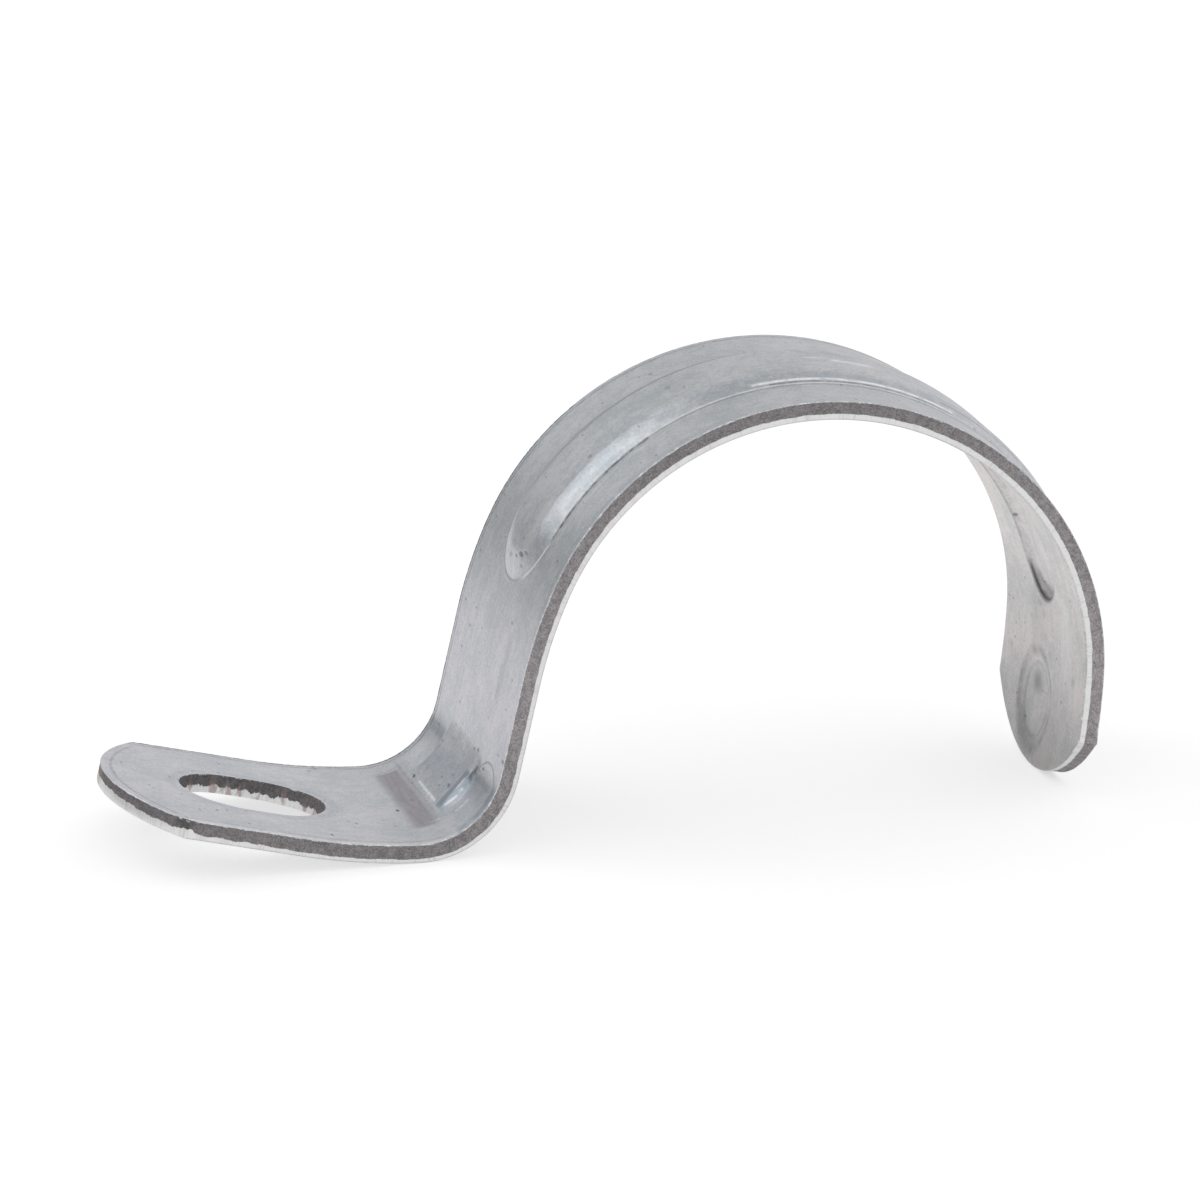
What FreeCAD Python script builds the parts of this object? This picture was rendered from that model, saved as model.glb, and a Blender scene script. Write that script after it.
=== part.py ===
import FreeCAD, Part
import math
import os

from FreeCAD import Vector

# One-hole conduit strap, pressed from one piece of galvanised sheet steel.
# The origin is on the conduit's axis, half way across the strap. +Y is the conduit's axis,
# and the strap stands as it comes to rest, on its heel and on the tip of its free end.

# The sheet and the strip cut from it, in millimetres and degrees
strap_width = 25.4
sheet = 1.65
foot_end_radius = 18.6
free_end_radius = 17.7
edge_roll_width = 0.15

# The foot, the heel bend and the leg, with the radii of the upper face
foot_length = 10.4
camber_radius = 52.0
camber_angle = 11.0
heel_radius = 7.2
leg_lean_angle = 0.3
leg_length = 8.5

# The arch that wraps the conduit, with the radii of its inner face
conduit_diameter = 48.26
conduit_clearance = 0.17
haunch_radius = 40.5
haunch_angle = 11.5
seat_angle = 111.0
throat_radius = 22.6
throat_angle = 47.8
lip_radius = 65.0
lip_length = 5.9

# The slotted hole for one fixing bolt, measured from the line between the foot's corners
hole_width = 10.9
hole_stretch = 2.05
hole_inset = 8.15

# The long stiffening bead along the arch, raised outside and hollow inside
bead_half_width = 6.4
bead_rise = 0.8
bead_shoulder_slope = 0.36
bead_blend = 0.25
bead_heel_margin = 3.9
bead_lip_margin = 8.8
hollow_half_width = 4.6
hollow_wall_slope = 0.8
hollow_blend = 0.3

# The rib pressed across the inside of the heel, as a short brace between foot and leg
rib_half_width = 6.2
rib_offset = 0.4
rib_start = 3.4
rib_length = 8.0
rib_foot_slope = 0.5
rib_leg_slope = 0.2
rib_wall_slope = 0.6
rib_blend = 0.15
rib_hollow_inset = 0.9

# The round dimple, pressed outwards just inside the tip of the free end
dimple_mouth_radius = 4.8
dimple_floor_radius = 3.2
dimple_depth = 0.4
dimple_offset = 0.8
dimple_wall_growth = 0.3
dimple_tip_margin = 0.27

# How deep the pressed shapes are rooted in the sheet before they join it, how far they reach
# past their own outlines, and the part of the root's depth that their surfaces may sink to
raised_root = 0.7
hollow_root = 0.9
dimple_root = 0.3
pressed_margin = 0.7
sink_share = 0.75
sink_blend = 0.1

# Extra length of strip at each end, trimmed off again with the rounded ends
spare = 3.0

# How near to a marked place an edge lies that is picked by that mark
mark_tolerance = 0.001

hole_length = hole_width + hole_stretch
seat_radius = conduit_diameter / 2 + conduit_clearance
foot_tip = foot_end_radius - math.sqrt(foot_end_radius ** 2 - (strap_width / 2) ** 2)
free_tip = free_end_radius - math.sqrt(free_end_radius ** 2 - (strap_width / 2) ** 2)


# A stretch of the strip has a name, a length along the upper face and a turn.
# A positive turn bends the strip upwards, and the arch is a row of negative turns.
def bend(name, radius, turn):
    return (name, radius * math.radians(abs(turn)), math.radians(turn))


stretches = [
    ("foot tip", foot_tip + spare, 0.0),
    ("foot", foot_length, 0.0),
    bend("camber", camber_radius, camber_angle),
    bend("heel", heel_radius, 90 - leg_lean_angle - camber_angle),
    ("leg", leg_length, 0.0),
    bend("haunch", haunch_radius + sheet, -haunch_angle),
    bend("seat", seat_radius + sheet, -seat_angle),
    bend("throat", throat_radius + sheet, -throat_angle),
    ("lip", lip_length, -lip_length / (lip_radius + sheet)),
    ("free tip", free_tip + spare, 0.0),
]


def tangent(heading):
    return Vector(math.cos(heading), 0, math.sin(heading))


def normal(heading):
    return Vector(-math.sin(heading), 0, math.cos(heading))


def step(start, heading, length, turn, distance):
    if turn == 0:
        return start + tangent(heading) * distance
    radius = length / turn
    centre = start + normal(heading) * radius
    return centre - normal(heading + turn * distance / length) * radius


# The line that the upper face follows, seen from the side
class StripLine:
    def __init__(self, start, heading):
        self.pieces = []
        here = 0.0
        for name, length, turn in stretches:
            self.pieces.append((name, here, length, turn, start, heading))
            start = step(start, heading, length, turn, length)
            heading = heading + turn
            here = here + length

    def find(self, name):
        return [piece for piece in self.pieces if piece[0] == name][0]

    def starts(self, name):
        return self.find(name)[1]

    def centre(self, name):
        name, here, length, turn, start, heading = self.find(name)
        return start + normal(heading) * (length / turn)

    def place(self, distance):
        passed = [piece for piece in self.pieces if piece[1] <= distance]
        name, here, length, turn, start, heading = passed[-1]
        point = step(start, heading, length, turn, distance - here)
        return point, heading + turn * (distance - here) / length

    def point(self, distance, lift=0.0, across=0.0):
        spot, heading = self.place(distance)
        return spot + normal(heading) * lift + Vector(0, across, 0)

    # The edges of the face that lies at a level above or below the upper face
    def edges(self, level, across):
        rim = []
        for name, here, length, turn, start, heading in self.pieces:
            first = self.point(here, level, across)
            end = step(start, heading, length, turn, length)
            last = end + normal(heading + turn) * level + Vector(0, across, 0)
            if turn == 0:
                rim.append(Part.makeLine(first, last))
            else:
                middle = self.point(here + length / 2, level, across)
                rim.append(Part.Arc(first, middle, last).toShape())
        return rim


# The strap is first laid out with a level foot. Then it is turned until the underside of the
# heel and the tip of the free end stand level, with the conduit's axis brought to the origin.
def resting_line():
    level = StripLine(Vector(0, 0, 0), 0.0)
    heel_centre = level.centre("heel")
    tip = level.point(level.starts("free tip") + free_tip)
    reach = tip - heel_centre
    slope = math.atan2(reach.z, reach.x)
    tilt = -math.asin((heel_radius + sheet) / reach.Length) - slope
    turn = FreeCAD.Rotation(Vector(0, 1, 0), -math.degrees(tilt))
    return StripLine(turn.multVec(level.centre("seat")) * -1, tilt)


line = resting_line()
foot_tip_end = line.starts("foot") - foot_tip
free_tip_end = line.starts("free tip") + free_tip


# Puts a shape made about its own origin at a distance along the strip, +X along and +Z out of it
def at_strip(shape, distance, lift=0.0, across=0.0):
    heading = line.place(distance)[1]
    turn = FreeCAD.Rotation(Vector(0, 1, 0), -math.degrees(heading))
    holder = Part.Compound([shape])
    holder.Placement = FreeCAD.Placement(line.point(distance, lift, across), turn)
    return holder


# The plain bent strip, with square ends
def bent_strip():
    side = -strap_width / 2
    upper = line.edges(0.0, side)
    lower = line.edges(-sheet, side)
    first = Part.makeLine(lower[0].Vertexes[0].Point, upper[0].Vertexes[0].Point)
    last = Part.makeLine(upper[-1].Vertexes[-1].Point, lower[-1].Vertexes[-1].Point)
    outline = Part.Wire(Part.__sortEdges__(upper + [last] + lower + [first]))
    return Part.Face(outline).extrude(Vector(0, strap_width, 0))


# What is trimmed off round an end, whose side is 1 at the foot and -1 at the free end.
# The disc is turned so that its seam lies clear of the strip.
def end_waste(tip_distance, reach, radius, side):
    height = 8 * sheet
    first = min(-2 * spare * side, reach * side)
    corner = Vector(first, -strap_width, -height / 2)
    block = Part.makeBox(reach + 2 * spare, 2 * strap_width, height, corner)
    disc = Part.makeCylinder(radius, 2 * height, Vector(side * radius, 0, -height))
    disc.rotate(Vector(side * radius, 0, 0), Vector(0, 0, 1), 90)
    return at_strip(block.cut(disc), tip_distance)


# The slotted hole's prism, through the foot
def hole_prism():
    height = 4 * sheet
    half = hole_width / 2
    run = (hole_length - hole_width) / 2
    low = -height / 2
    corners = [Vector(x, y, low) for x, y in [(-run, -half), (run, -half), (run, half), (-run, half)]]
    right = Part.Arc(corners[1], Vector(run + half, 0, low), corners[2]).toShape()
    left = Part.Arc(corners[3], Vector(-run - half, 0, low), corners[0]).toShape()
    straights = [Part.makeLine(corners[0], corners[1]), Part.makeLine(corners[2], corners[3])]
    outline = Part.Wire([straights[0], right, straights[1], left])
    prism = Part.Face(outline).extrude(Vector(0, 0, height))
    return at_strip(prism, line.starts("foot") + hole_inset, -sheet / 2)


# The smaller of two heights, with a soft change from one to the other
def soft_least(first, second, blend):
    return (first + second - math.sqrt((first - second) ** 2 + blend ** 2)) / 2


# A closed pillow that follows the strip between two distances along it. Its crown has the
# given height above the base level at each place, and its floor lies at the root's depth.
def pillow(start, finish, rows, left, right, columns, base, height, root):
    crown_points = []
    floor_points = []
    for i in range(rows + 1):
        along = start + (finish - start) * i / rows
        spread = [left + (right - left) * j / columns for j in range(columns + 1)]
        crown_points.append([line.point(along, base + height(along, side), side) for side in spread])
        floor_points.append([line.point(along, base - root, side) for side in spread])
    crown = Part.BSplineSurface()
    crown.interpolate(crown_points)
    floor = Part.BSplineSurface()
    floor.interpolate(floor_points)
    u0, u1, v0, v1 = crown.bounds()
    a0, a1, b0, b1 = floor.bounds()
    rims = [
        (crown.uIso(u0), floor.uIso(a0)),
        (crown.uIso(u1), floor.uIso(a1)),
        (crown.vIso(v0), floor.vIso(b0)),
        (crown.vIso(v1), floor.vIso(b1)),
    ]
    walls = [Part.makeRuledSurface(high.toShape(), low.toShape()) for high, low in rims]
    shell = Part.makeShell([crown.toShape(), floor.toShape()] + walls)
    shell.sewShape()
    solid = Part.Solid(shell)
    if solid.Volume < 0:
        solid.reverse()
    return solid


# The bead, or its hollow when the base is the inner face. Its plan is a slot, so the height of
# its soft shoulder depends only on how far a place is from the middle line.
def bead_shape(half_width, slope, blend, base, root):
    first = line.starts("seat") + bead_heel_margin
    last = line.starts("lip") - bead_lip_margin

    def height(along, side):
        off_middle = math.hypot(max(first - along, along - last, 0.0), side)
        shoulder = (half_width - off_middle) * slope
        raised = soft_least(shoulder, bead_rise, blend)
        return -soft_least(-raised, sink_share * root, sink_blend)

    reach = half_width + pressed_margin
    columns = 18
    end_rows = 10
    run_rows = 7
    parts = [
        pillow(first - reach, first, end_rows, -reach, reach, columns, base, height, root),
        pillow(first, last, run_rows, -reach, reach, columns, base, height, root),
        pillow(last, last + reach, end_rows, -reach, reach, columns, base, height, root),
    ]
    return parts[0].fuse(parts[1:])


# The rib in the heel, or its hollow: a low hump along the bend with sloping side walls
def rib_shape(half_width, base, root):
    start = line.starts("heel") + rib_start

    def height(along, side):
        share = (along - start) / rib_length
        slope = rib_foot_slope + (rib_leg_slope - rib_foot_slope) * share
        hump = share * (1 - share) * slope * rib_length
        wall = (half_width - abs(side - rib_offset)) * rib_wall_slope
        raised = soft_least(hump, wall, rib_blend)
        return -soft_least(-raised, sink_share * root, sink_blend)

    first = start - pressed_margin
    last = start + rib_length + pressed_margin
    left = rib_offset - half_width - pressed_margin
    right = rib_offset + half_width + pressed_margin
    rows = 20
    columns = 30
    return pillow(first, last, rows, left, right, columns, base, height, root)


# The dimple, or its hollow: a shallow cone with its wide end on the sheet
def dimple_shape(growth, base):
    mouth = dimple_mouth_radius + growth
    floor = dimple_floor_radius + growth
    spread = mouth + (mouth - floor) * dimple_root / dimple_depth
    cone = Part.makeCone(spread, floor, dimple_depth + dimple_root, Vector(0, 0, -dimple_root))
    inset = dimple_mouth_radius + dimple_wall_growth + dimple_tip_margin
    return at_strip(cone, free_tip_end - inset, base, dimple_offset)


# Presses the bead, the rib and the dimple into the strip, each raised above and hollow below
def pressed(strip):
    raised = [
        bead_shape(bead_half_width, bead_shoulder_slope, bead_blend, 0.0, raised_root),
        rib_shape(rib_half_width, 0.0, raised_root),
        dimple_shape(dimple_wall_growth, 0.0),
    ]
    hollows = [
        bead_shape(hollow_half_width, hollow_wall_slope, hollow_blend, -sheet, hollow_root),
        rib_shape(rib_half_width - rib_hollow_inset, -sheet, hollow_root),
        dimple_shape(0.0, -sheet),
    ]
    return strip.fuse(raised).cut(hollows[1:]).cut(hollows[0])


# Cuts the rounded ends and the bolt hole
def trimmed(strip):
    foot_waste = end_waste(foot_tip_end, foot_tip, foot_end_radius, 1)
    free_waste = end_waste(free_tip_end, free_tip, free_end_radius, -1)
    return strip.cut(foot_waste).cut(free_waste).cut(hole_prism())


# Places on the rims of the lower face, which the shearing tools have rolled over a little
def rolled_rims():
    middle = line.starts("foot") + hole_inset
    hole = [line.point(middle + end * hole_length / 2, -sheet) for end in (-1, 1)]
    hole = hole + [line.point(middle, -sheet, side * hole_width / 2) for side in (-1, 1)]
    foot_end = [line.point(foot_tip_end, -sheet)]
    free_end = [line.point(free_tip_end, -sheet)]
    sides = []
    for name, here, length, turn, start, heading in line.pieces[1:-1]:
        for side in (-1, 1):
            sides.append(line.point(here + length / 2, -sheet, side * strap_width / 2))
    return [hole, foot_end, free_end, sides]


def is_on(edge, marks):
    return min(edge.distToShape(mark)[0] for mark in marks) < mark_tolerance


def with_rolled_edges(body):
    for rim in rolled_rims():
        marks = [Part.Vertex(place) for place in rim]
        edges = [edge for edge in body.Edges if is_on(edge, marks)]
        body = body.makeChamfer(edge_roll_width, edges)
    return body


def main():
    strap = with_rolled_edges(trimmed(pressed(bent_strip())))
    print("strap", round(strap.Volume, 1), "mm3", len(strap.Solids), "solid", strap.isValid())
    os.makedirs("parts", exist_ok=True)
    strap.Solids[0].exportStep("parts/strap.step")


main()
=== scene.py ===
import bpy, bmesh, math
from mathutils import Matrix, Vector


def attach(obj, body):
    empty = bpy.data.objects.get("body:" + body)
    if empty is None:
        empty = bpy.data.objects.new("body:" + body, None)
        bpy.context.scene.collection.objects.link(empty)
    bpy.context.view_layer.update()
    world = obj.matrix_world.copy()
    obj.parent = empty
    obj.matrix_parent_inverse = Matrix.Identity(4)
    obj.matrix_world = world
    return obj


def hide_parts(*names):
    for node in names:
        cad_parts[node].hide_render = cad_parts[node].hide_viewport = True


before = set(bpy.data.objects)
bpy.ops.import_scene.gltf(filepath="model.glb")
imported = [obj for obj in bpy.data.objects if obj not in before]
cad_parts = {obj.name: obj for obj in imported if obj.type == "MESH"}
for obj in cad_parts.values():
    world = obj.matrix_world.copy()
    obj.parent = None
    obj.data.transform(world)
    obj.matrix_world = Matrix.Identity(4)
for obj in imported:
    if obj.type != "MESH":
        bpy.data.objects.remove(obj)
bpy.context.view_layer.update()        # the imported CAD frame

mm = 0.001


def deselectAll():
    if bpy.context.object and bpy.context.object.mode != "OBJECT":
        bpy.ops.object.mode_set(mode="OBJECT")
    bpy.ops.object.select_all(action="DESELECT")


def makeActive(piece):
    deselectAll()
    piece.select_set(True)
    bpy.context.view_layer.objects.active = piece


def startEdit(piece, mode="VERT"):
    makeActive(piece)
    bpy.ops.object.mode_set(mode="EDIT")
    bpy.ops.mesh.select_mode(type=mode)
    bpy.ops.mesh.select_all(action="DESELECT")


def endEdit():
    bpy.ops.object.mode_set(mode="OBJECT")


def selectVerts(piece, test):       # picks vertices by their place, in millimetres
    net = bmesh.from_edit_mesh(piece.data)
    for vert in net.verts:
        vert.select_set(test(vert.co.x / mm, vert.co.y / mm, vert.co.z / mm))
    net.select_flush_mode()
    bmesh.update_edit_mesh(piece.data)


# lifts the chosen vertices and, less and less, those around them
def pullUp(height, reach, falloff, connected=False):
    bpy.ops.transform.translate(value=(0, 0, height * mm), use_proportional_edit=True,
                                proportional_edit_falloff=falloff, proportional_size=reach * mm,
                                use_proportional_connected=connected)


def soften(piece, test):
    selectVerts(piece, test)
    bpy.ops.mesh.vertices_smooth(factor=sheet["softening"])


def applyModifier(piece, modifier):
    makeActive(piece)
    bpy.ops.object.modifier_apply(modifier=modifier.name)


# the sheet, in millimetres; the flat blank runs along X from the foot's corner line
sheet = {
    "width": 25.4,
    "thick": 1.65,
    "footRadius": 18.6,
    "freeRadius": 17.7,
    "developed": 123.637,     # from the foot's corners to the free end's corners
    "drawnOver": 12.0,        # length of grid drawn out at each end to make the round tips
    "cellsAlong": 384,
    "cellsAcross": 72,
    "wallCuts": 8,
    "softening": 0.5,
    "softMargin": 0.5,        # how far past a pressed form the sheet is softened
    "rollover": 0.2,
    "rolloverSteps": 3,
    "burr": 0.05,
    "burrSteps": 1,
    "rimWithin": 0.01,        # a rim's edges lie this close to its level
    "rimLean": 0.5,           # walls are the faces whose normal rises less than this,
    "wallLean": 0.7,          # or less than this once the rims are rounded
    "facesPart": -0.6,        # the outer face lies above this level, the inner face below
    "breakLevel": -1.1,       # the sheared walls are torn above this and burnished below
    "tornTo": -0.06,          # the tear stops here, just under the upper rim
    "tornFade": 0.1,
    "tornDepth": 0.07,
    "tornGrain": 0.35,
    "tornDetail": 2,
    "smoothUnder": 38,        # edges that turn by fewer degrees than this are shaded smooth
    "burrsAbove": -0.1,       # burrs stand on what lies above this level
    # the burrs: along, across, size, lift
    "burrs": [
        (-1.0, 12.3, 1.3, 0.16), (0.2, -12.5, 0.9, 0.1), (-1.3, -12.1, 0.6, 0.08),
        (123.4, -12.6, 0.8, 0.07),
    ],
}
cell = sheet["width"] / sheet["cellsAcross"]

# the line of the upper face: name, length or radius, turn in degrees
bends = {
    "startPlace": (-55.664, -6.280),
    "startHeading": -14.0188,
    "lead": 8.0,              # straight run before the foot's corners
    "steps": [
        ("foot", 10.4, 0),
        ("camber", 52.0, 11.0),
        ("heel", 7.2, 78.7),
        ("leg", 8.5, 0),
        ("haunch", 42.15, -11.5),
        ("seat", 25.95, -111.0),
        ("throat", 24.25, -47.8),
        ("lip", 66.65, -5.0719),
        ("tip", 9.0, 0),
    ],
    "spacing": 0.3,
}

bead = {
    "from": 51.133, "to": 108.5, "core": cell * 0.5,
    "halfWidth": 6.2, "crownHeight": 1.16, "rise": 0.78,
    "hollowTo": 109.2, "hollowHalfWidth": 4.55, "hollowSlope": 0.8,
}

rib = {
    "from": 23.783, "length": 6.5, "offset": 0.55, "halfWidth": 6.1,
    "footSlope": 0.4, "legSlope": 0.16, "wallSlope": 1.0, "hollowInset": 0.9,
    "softMargin": 1.0, "softHalfWidth": 8.0,
}

dimple = {
    "along": 123.4, "across": 1.3, "core": cell * 0.75,
    "mouth": 4.7, "floor": 3.2, "depth": 0.3, "growth": 0.3,
}

slot = {"inset": 8.3, "length": 13.0, "width": 10.75, "mergeWithin": 0.05}


def sagitta(radius, across):
    return radius - math.sqrt(radius ** 2 - across ** 2)


# the centres of the slot's two round ends
def slotEnds():
    reach = (slot["length"] - slot["width"]) / 2
    return slot["inset"] - reach, slot["inset"] + reach


# one face of the blank: a fine grid whose two ends are drawn out to the rounded tips
def flatFace(name, level):
    reach = sheet["width"] / 2
    first = -sagitta(sheet["footRadius"], reach)
    last = sheet["developed"] + sagitta(sheet["freeRadius"], reach)
    deselectAll()
    bpy.ops.mesh.primitive_grid_add(x_subdivisions=sheet["cellsAlong"], y_subdivisions=sheet["cellsAcross"],
                                    size=1, location=(0, 0, 0))
    face = bpy.context.object
    face.name = name
    startEdit(face)
    bpy.ops.mesh.select_all(action="SELECT")
    bpy.ops.transform.resize(value=((last - first) * mm, sheet["width"] * mm, 1))
    bpy.ops.transform.translate(value=((first + last) / 2 * mm, 0, level * mm))
    net = bmesh.from_edit_mesh(face.data)
    drawn = sheet["drawnOver"]
    for vert in net.verts:
        along = vert.co.x / mm
        across = vert.co.y / mm
        if along < first + drawn:
            along += sagitta(sheet["footRadius"], across) * (1 - (along - first) / drawn)
        if along > last - drawn:
            along -= sagitta(sheet["freeRadius"], across) * (1 - (last - along) / drawn)
        vert.co.x = along * mm
    bmesh.update_edit_mesh(face.data)
    endEdit()
    return face


# draws a tent up over a line or a spot, presses its crown flat and softens its creases;
# the vertices nearer than the core are lifted whole
def pressTent(face, distance, core, halfWidth, height, falloff, rise, level):
    startEdit(face)
    selectVerts(face, lambda x, y, z: distance(x, y) < core)
    pullUp(height, halfWidth, falloff)
    selectVerts(face, lambda x, y, z: distance(x, y) < halfWidth and z > level + rise)
    bpy.ops.transform.resize(value=(1, 1, 0), center_override=(0, 0, (level + rise) * mm))
    soften(face, lambda x, y, z: distance(x, y) < halfWidth + sheet["softMargin"])
    endEdit()


def pressBead(face, to, halfWidth, height, falloff, level):
    def fromMiddleLine(x, y):
        return math.hypot(max(bead["from"] - x, x - to, 0), y)
    pressTent(face, fromMiddleLine, bead["core"], halfWidth, height, falloff, bead["rise"], level)


def pressDimple(face, growth, level):
    def fromCentre(x, y):
        return math.hypot(x - dimple["along"], y - dimple["across"])
    mouth = dimple["mouth"] + growth
    height = dimple["depth"] * mouth / (dimple["mouth"] - dimple["floor"])
    pressTent(face, fromCentre, dimple["core"], mouth, height, "LINEAR", dimple["depth"], level)


# the heel's rib has no operator of its own: each point rises to the lower of its hump and its wall
def pressRib(face, inset):
    startEdit(face)
    net = bmesh.from_edit_mesh(face.data)
    for vert in net.verts:
        share = (vert.co.x / mm - rib["from"]) / rib["length"]
        wall = (rib["halfWidth"] - inset - abs(vert.co.y / mm - rib["offset"])) * rib["wallSlope"]
        if 0 < share < 1 and wall > 0:
            slope = rib["footSlope"] + (rib["legSlope"] - rib["footSlope"]) * share
            vert.co.z += min(share * (1 - share) * slope * rib["length"], wall) * mm
    bmesh.update_edit_mesh(face.data)
    first = rib["from"] - rib["softMargin"]
    last = rib["from"] + rib["length"] + rib["softMargin"]
    soften(face, lambda x, y, z: abs(y) < rib["softHalfWidth"] and first < x < last)
    endEdit()


# the upper and lower faces are pressed one by one and then joined by a wall round their edge
def makeBlank():
    upper = flatFace("strapBody", 0)
    pressRib(upper, 0)
    pressBead(upper, bead["to"], bead["halfWidth"], bead["crownHeight"], "INVERSE_SQUARE", 0)
    pressDimple(upper, dimple["growth"], 0)
    lower = flatFace("strapUnderside", -sheet["thick"])
    pressRib(lower, rib["hollowInset"])
    hollowHeight = bead["hollowHalfWidth"] * bead["hollowSlope"]
    pressBead(lower, bead["hollowTo"], bead["hollowHalfWidth"], hollowHeight, "LINEAR", -sheet["thick"])
    pressDimple(lower, 0, -sheet["thick"])
    makeActive(upper)
    lower.select_set(True)
    bpy.ops.object.join()
    startEdit(upper, "EDGE")
    bpy.ops.mesh.select_all(action="SELECT")
    bpy.ops.mesh.region_to_loop()
    bpy.ops.mesh.bridge_edge_loops(number_cuts=sheet["wallCuts"])
    bpy.ops.mesh.select_all(action="SELECT")
    bpy.ops.mesh.normals_make_consistent(inside=False)
    endEdit()
    return upper


def isWall(face, lean):
    return abs(face.normal.z) < lean


# the rim at one level: rolled over by the shear below, and a fine burr edge above
def bevelRim(strap, level, size, segments):
    startEdit(strap, "EDGE")
    net = bmesh.from_edit_mesh(strap.data)
    for edge in net.edges:
        walls = [isWall(face, sheet["rimLean"]) for face in edge.link_faces]
        near = max(abs(vert.co.z / mm - level) for vert in edge.verts) < sheet["rimWithin"]
        edge.select_set(near and len(walls) == 2 and walls[0] != walls[1])
    bmesh.update_edit_mesh(strap.data)
    bpy.ops.mesh.bevel(offset=size * mm, segments=segments, affect="EDGES")
    endEdit()


# the slot: its cells are taken out of both faces, the two rims are drawn onto its outline and
# a wall is put in between them
def punchSlot(strap):
    half = slot["width"] / 2
    first, last = slotEnds()

    def fromMiddleLine(x, y):
        return Vector((x - min(max(x, first), last), y))

    startEdit(strap, "FACE")
    net = bmesh.from_edit_mesh(strap.data)
    for face in net.faces:
        centre = face.calc_center_median() / mm
        face.select_set(fromMiddleLine(centre.x, centre.y).length < half)
    bmesh.update_edit_mesh(strap.data)
    bpy.ops.mesh.delete(type="FACE")
    bpy.ops.mesh.select_mode(type="VERT")
    net = bmesh.from_edit_mesh(strap.data)
    for vert in net.verts:
        if vert.is_boundary:
            away = fromMiddleLine(vert.co.x / mm, vert.co.y / mm)
            vert.co += (away.normalized() * (half - away.length)).to_3d() * mm
        vert.select_set(vert.is_boundary)
    bmesh.update_edit_mesh(strap.data)
    bpy.ops.mesh.remove_doubles(threshold=slot["mergeWithin"] * mm)
    bpy.ops.mesh.select_mode(type="EDGE")
    net = bmesh.from_edit_mesh(strap.data)
    for edge in net.edges:
        edge.select_set(edge.is_boundary)
    bmesh.update_edit_mesh(strap.data)
    bpy.ops.mesh.bridge_edge_loops(number_cuts=sheet["wallCuts"])
    endEdit()


# burrs that the shear left standing at the corners: the inner third of each is lifted whole
def raiseBurrs(strap):
    startEdit(strap)
    for along, across, size, lift in sheet["burrs"]:
        def isUnder(x, y, z):
            return math.hypot(x - along, y - across) < size / 3 and z > sheet["burrsAbove"]
        selectVerts(strap, isUnder)
        pullUp(lift, size, "SHARP", connected=True)
    endEdit()


def pointing(heading):
    return Vector((math.cos(heading), math.sin(heading), 0))


def leftOf(heading):
    return Vector((-math.sin(heading), math.cos(heading), 0))


# the path for the bending, drawn by extruding and spinning one vertex in the XY plane
def drawPath():
    deselectAll()
    bpy.ops.mesh.primitive_plane_add(size=mm, location=(0, 0, 0))
    path = bpy.context.object
    path.name = "bendPath"
    startEdit(path)
    bpy.ops.mesh.select_all(action="SELECT")
    bpy.ops.mesh.merge(type="CENTER")
    heading = math.radians(bends["startHeading"])
    here = Vector(bends["startPlace"]).to_3d() - pointing(heading) * bends["lead"]
    bpy.ops.transform.translate(value=here * mm)
    for name, size, turn in bends["steps"]:
        if turn == 0:
            length = size + (bends["lead"] if name == "foot" else 0)
            count = round(length / bends["spacing"])
            move = pointing(heading) * length
            for k in range(count):
                bpy.ops.mesh.extrude_region_move(TRANSFORM_OT_translate={"value": move * mm / count})
            here += move
        else:
            angle = math.radians(turn)
            side = 1 if turn > 0 else -1
            centre = here + leftOf(heading) * size * side
            count = round(size * abs(angle) / bends["spacing"])
            bpy.ops.mesh.spin(steps=count, angle=-angle, center=centre * mm, axis=(0, 0, 1))
            heading += angle
            here = centre - leftOf(heading) * size * side
    endEdit()
    bpy.ops.object.convert(target="CURVE")
    path = bpy.context.object
    path.data.dimensions = "2D"
    points = path.data.splines[0].points
    if points[0].co.x > points[-1].co.x:       # the strap follows the path from the foot's end
        bpy.ops.object.mode_set(mode="EDIT")
        bpy.ops.curve.select_all(action="SELECT")
        bpy.ops.curve.switch_direction()
        bpy.ops.object.mode_set(mode="OBJECT")
    return path


# the torn part of the sheared walls lies back a little, and roughly
def tearWalls(strap):
    torn = strap.vertex_groups.new(name="torn")
    picked = set()
    for polygon in strap.data.polygons:
        if isWall(polygon, sheet["wallLean"]):
            picked.update(polygon.vertices)
    for index in picked:
        depth = strap.data.vertices[index].co.z / mm
        inside = min(depth - sheet["breakLevel"], sheet["tornTo"] - depth)
        if inside > 0:
            torn.add([index], min(inside / sheet["tornFade"], 1), "REPLACE")
    grain = bpy.data.textures.new("tornGrain", "CLOUDS")
    grain.noise_scale = sheet["tornGrain"] * mm
    grain.noise_depth = sheet["tornDetail"]
    tear = strap.modifiers.new("tear", "DISPLACE")
    tear.texture = grain
    tear.vertex_group = "torn"
    tear.mid_level = 0
    tear.strength = -sheet["tornDepth"] * mm
    applyModifier(strap, tear)


# keeps each point's place on the flat blank, in millimetres, for the materials to follow,
# and gives the outer face, the sheared walls and the inner face the material slots 0, 1 and 2
def keepFlatPlace(strap):
    flat = strap.data.attributes.new("flat", "FLOAT_VECTOR", "POINT")
    for vert in strap.data.vertices:
        flat.data[vert.index].vector = vert.co / mm
    for polygon in strap.data.polygons:
        side = 2 if polygon.center.z / mm < sheet["facesPart"] else 0
        polygon.material_index = 1 if isWall(polygon, sheet["wallLean"]) else side


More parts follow.
